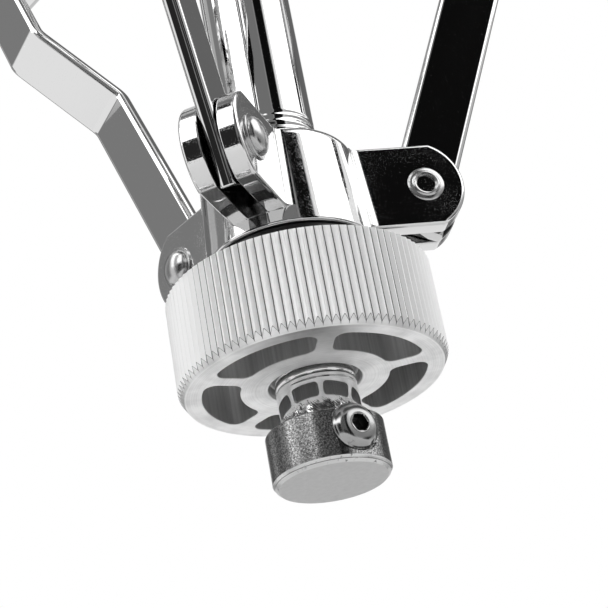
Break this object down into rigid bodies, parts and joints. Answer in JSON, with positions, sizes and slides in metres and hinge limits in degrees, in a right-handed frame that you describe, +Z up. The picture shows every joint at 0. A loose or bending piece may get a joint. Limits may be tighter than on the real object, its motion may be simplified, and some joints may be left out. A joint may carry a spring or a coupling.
{
  "type": "snare drum stand",
  "caption": "Folding tripod stand with a height tube, tilter and an offset basket whose arms close on a drum when a knurled hand nut is turned.",
  "frame": {"origin": "on the floor, on the axis of the upright, at the middle of the stand's footprint", "axes": "+Z up, +X from the upright towards the basket's post and its front arm"},
  "size_m": [0.613, 0.5346, 0.5755],
  "materials": {
    "chrome_steel": "mirror chrome plate",
    "chrome_casting": "chrome-plated casting",
    "plated_rivet": "nickel-plated steel",
    "plated_screw": "zinc-plated steel",
    "nickel_cap": "satin nickel plate",
    "bare_aluminium": "turned and knurled",
    "black_rubber": "moulded matt rubber",
    "black_nylon": "moulded nylon"
  },
  "bodies": {
    "base": {"base_tube": "chrome_steel", "base_plug": "black_nylon", "brace_collar": "chrome_casting", "brace_collar_rivets": "plated_rivet", "height_clamp": "chrome_casting", "height_bush": "black_nylon"},
    "leg_collar": {"leg_collar": "chrome_casting", "leg_collar_rivets": "plated_rivet"},
    "leg_screw": {"leg_collar_wing_screw": "chrome_casting"},
    "leg_1": {"leg_1": "chrome_steel", "foot_1": "black_rubber", "brace_rivet_1": "plated_rivet"},
    "leg_2": {"leg_2": "chrome_steel", "foot_2": "black_rubber", "brace_rivet_2": "plated_rivet"},
    "leg_3": {"leg_3": "chrome_steel", "foot_3": "black_rubber", "brace_rivet_3": "plated_rivet"},
    "brace_1": {"brace_1": "chrome_steel"},
    "brace_2": {"brace_2": "chrome_steel"},
    "brace_3": {"brace_3": "chrome_steel"},
    "height_bolt": {"height_wing_bolt": "chrome_casting"},
    "mast": {"upper_tube": "chrome_steel", "memory_lock": "chrome_casting", "memory_lock_screw": "plated_screw", "tilter_base": "chrome_casting", "tilt_washer": "black_nylon", "tilt_bolt": "plated_screw"},
    "tilt_nut": {"tilt_wing_nut": "chrome_casting"},
    "tilter": {"tilter_arm": "chrome_casting"},
    "eye_screw": {"eye_wing_screw": "chrome_casting"},
    "post": {"post_tube": "chrome_steel", "post_plug": "black_nylon", "threaded_rod": "chrome_steel", "stop_cap": "nickel_cap", "cap_screw": "plated_screw", "upper_hub": "chrome_casting", "upper_hub_screw": "plated_screw", "upper_hub_pins": "plated_rivet"},
    "hub": {"lower_hub": "chrome_casting", "hub_rivets": "plated_rivet", "hub_washer": "black_nylon"},
    "nut": {"hand_nut": "bare_aluminium"},
    "link_1": {"link_1": "chrome_steel"},
    "link_2": {"link_2": "chrome_steel"},
    "link_3": {"link_3": "chrome_steel"},
    "arm_1": {"arm_knuckle_1": "chrome_casting", "arm_tube_1": "chrome_steel", "grip_1": "black_rubber", "link_rivet_1": "plated_rivet"},
    "arm_2": {"arm_knuckle_2": "chrome_casting", "arm_tube_2": "chrome_steel", "grip_2": "black_rubber", "link_rivet_2": "plated_rivet"},
    "arm_3": {"arm_knuckle_3": "chrome_casting", "arm_tube_3": "chrome_steel", "grip_3": "black_rubber", "link_rivet_3": "plated_rivet"}
  },
  "joints": [
    {"name": "leg_collar_slide", "type": "slide", "parent": "base", "child": "leg_collar", "axis": [0, 0, 1], "range_m": [0, 0.07424]},
    {"name": "leg_screw_turn", "type": "hinge", "parent": "leg_collar", "child": "leg_screw", "pos_m": [0.03, 0, 0.16], "axis": [1, 0, 0], "range_deg": [0, 540]},
    {"name": "leg_1_swing", "type": "hinge", "parent": "leg_collar", "child": "leg_1", "pos_m": [-0.027, 0, 0.16], "axis": [0, -1, 0], "range_deg": [0, 52.33]},
    {"name": "leg_2_swing", "type": "hinge", "parent": "leg_collar", "child": "leg_2", "pos_m": [0.0135, -0.02338, 0.16], "axis": [0.866, 0.5, 0], "range_deg": [0, 52.33]},
    {"name": "leg_3_swing", "type": "hinge", "parent": "leg_collar", "child": "leg_3", "pos_m": [0.0135, 0.02338, 0.16], "axis": [-0.866, 0.5, 0], "range_deg": [0, 52.33]},
    {"name": "brace_1_swing", "type": "hinge", "parent": "base", "child": "brace_1", "pos_m": [-0.027, 0, 0.0857], "axis": [0, -1, 0], "range_deg": [-52.33, 0]},
    {"name": "brace_2_swing", "type": "hinge", "parent": "base", "child": "brace_2", "pos_m": [0.0135, -0.02338, 0.0857], "axis": [0.866, 0.5, 0], "range_deg": [-52.33, 0]},
    {"name": "brace_3_swing", "type": "hinge", "parent": "base", "child": "brace_3", "pos_m": [0.0135, 0.02338, 0.0857], "axis": [-0.866, 0.5, 0], "range_deg": [-52.33, 0]},
    {"name": "height_slide", "type": "slide", "parent": "base", "child": "mast", "axis": [0, 0, 1], "range_m": [0, 0.13]},
    {"name": "height_bolt_turn", "type": "hinge", "parent": "base", "child": "height_bolt", "pos_m": [-0.0267, -0.02, 0.28], "axis": [0, -1, 0], "range_deg": [0, 540]},
    {"name": "tilt", "type": "hinge", "parent": "mast", "child": "tilter", "pos_m": [0, 0, 0.47601], "axis": [0, 1, 0], "range_deg": [-45, 20]},
    {"name": "tilt_nut_turn", "type": "hinge", "parent": "mast", "child": "tilt_nut", "pos_m": [0, -0.02, 0.47601], "axis": [0, -1, 0], "range_deg": [0, 540]},
    {"name": "eye_screw_turn", "type": "hinge", "parent": "tilter", "child": "eye_screw", "pos_m": [0.09, -0.025, 0.47601], "axis": [0, -1, 0], "range_deg": [0, 540]},
    {"name": "post_swivel", "type": "hinge", "parent": "tilter", "child": "post", "pos_m": [0.09, 0, 0.47601], "axis": [0, 0, 1], "range_deg": [-50, 30]},
    {"name": "hub_slide", "type": "slide", "parent": "post", "child": "hub", "axis": [0, 0, 1], "range_m": [0, 0.01602]},
    {"name": "nut_spin", "type": "hinge", "parent": "hub", "child": "nut", "pos_m": [0.09, 0, 0.36], "axis": [0, 0, 1], "range_deg": [0, 3840]},
    {"name": "link_1_swing", "type": "hinge", "parent": "hub", "child": "link_1", "pos_m": [0.119, 0, 0.3897], "axis": [0, 1, 0], "range_deg": [-1.44, 0]},
    {"name": "link_2_swing", "type": "hinge", "parent": "hub", "child": "link_2", "pos_m": [0.0755, 0.02511, 0.3897], "axis": [-0.866, -0.5, 0], "range_deg": [-1.44, 0]},
    {"name": "link_3_swing", "type": "hinge", "parent": "hub", "child": "link_3", "pos_m": [0.0755, -0.02511, 0.3897], "axis": [0.866, -0.5, 0], "range_deg": [-1.44, 0]},
    {"name": "arm_1_swing", "type": "hinge", "parent": "post", "child": "arm_1", "pos_m": [0.119, 0, 0.50901], "axis": [0, 1, 0], "range_deg": [-19.53, 0]},
    {"name": "arm_2_swing", "type": "hinge", "parent": "post", "child": "arm_2", "pos_m": [0.0755, 0.02511, 0.50901], "axis": [-0.866, -0.5, 0], "range_deg": [-19.53, 0]},
    {"name": "arm_3_swing", "type": "hinge", "parent": "post", "child": "arm_3", "pos_m": [0.0755, -0.02511, 0.50901], "axis": [0.866, -0.5, 0], "range_deg": [-19.53, 0]}
  ],
  "couplings": [
    {"joint": "leg_1_swing", "follows": "leg_collar_slide", "rad_per_m": 12.297},
    {"joint": "leg_2_swing", "follows": "leg_collar_slide", "rad_per_m": 12.297},
    {"joint": "leg_3_swing", "follows": "leg_collar_slide", "rad_per_m": 12.297},
    {"joint": "brace_1_swing", "follows": "leg_collar_slide", "rad_per_m": -12.297},
    {"joint": "brace_2_swing", "follows": "leg_collar_slide", "rad_per_m": -12.297},
    {"joint": "brace_3_swing", "follows": "leg_collar_slide", "rad_per_m": -12.297},
    {"joint": "hub_slide", "follows": "nut_spin", "m_per_rad": 0.00023873},
    {"joint": "link_1_swing", "follows": "nut_spin", "ratio": -0.00036863},
    {"joint": "link_2_swing", "follows": "nut_spin", "ratio": -0.00036863},
    {"joint": "link_3_swing", "follows": "nut_spin", "ratio": -0.00036863},
    {"joint": "arm_1_swing", "follows": "nut_spin", "ratio": -0.0050796},
    {"joint": "arm_2_swing", "follows": "nut_spin", "ratio": -0.0050796},
    {"joint": "arm_3_swing", "follows": "nut_spin", "ratio": -0.0050796}
  ]
}
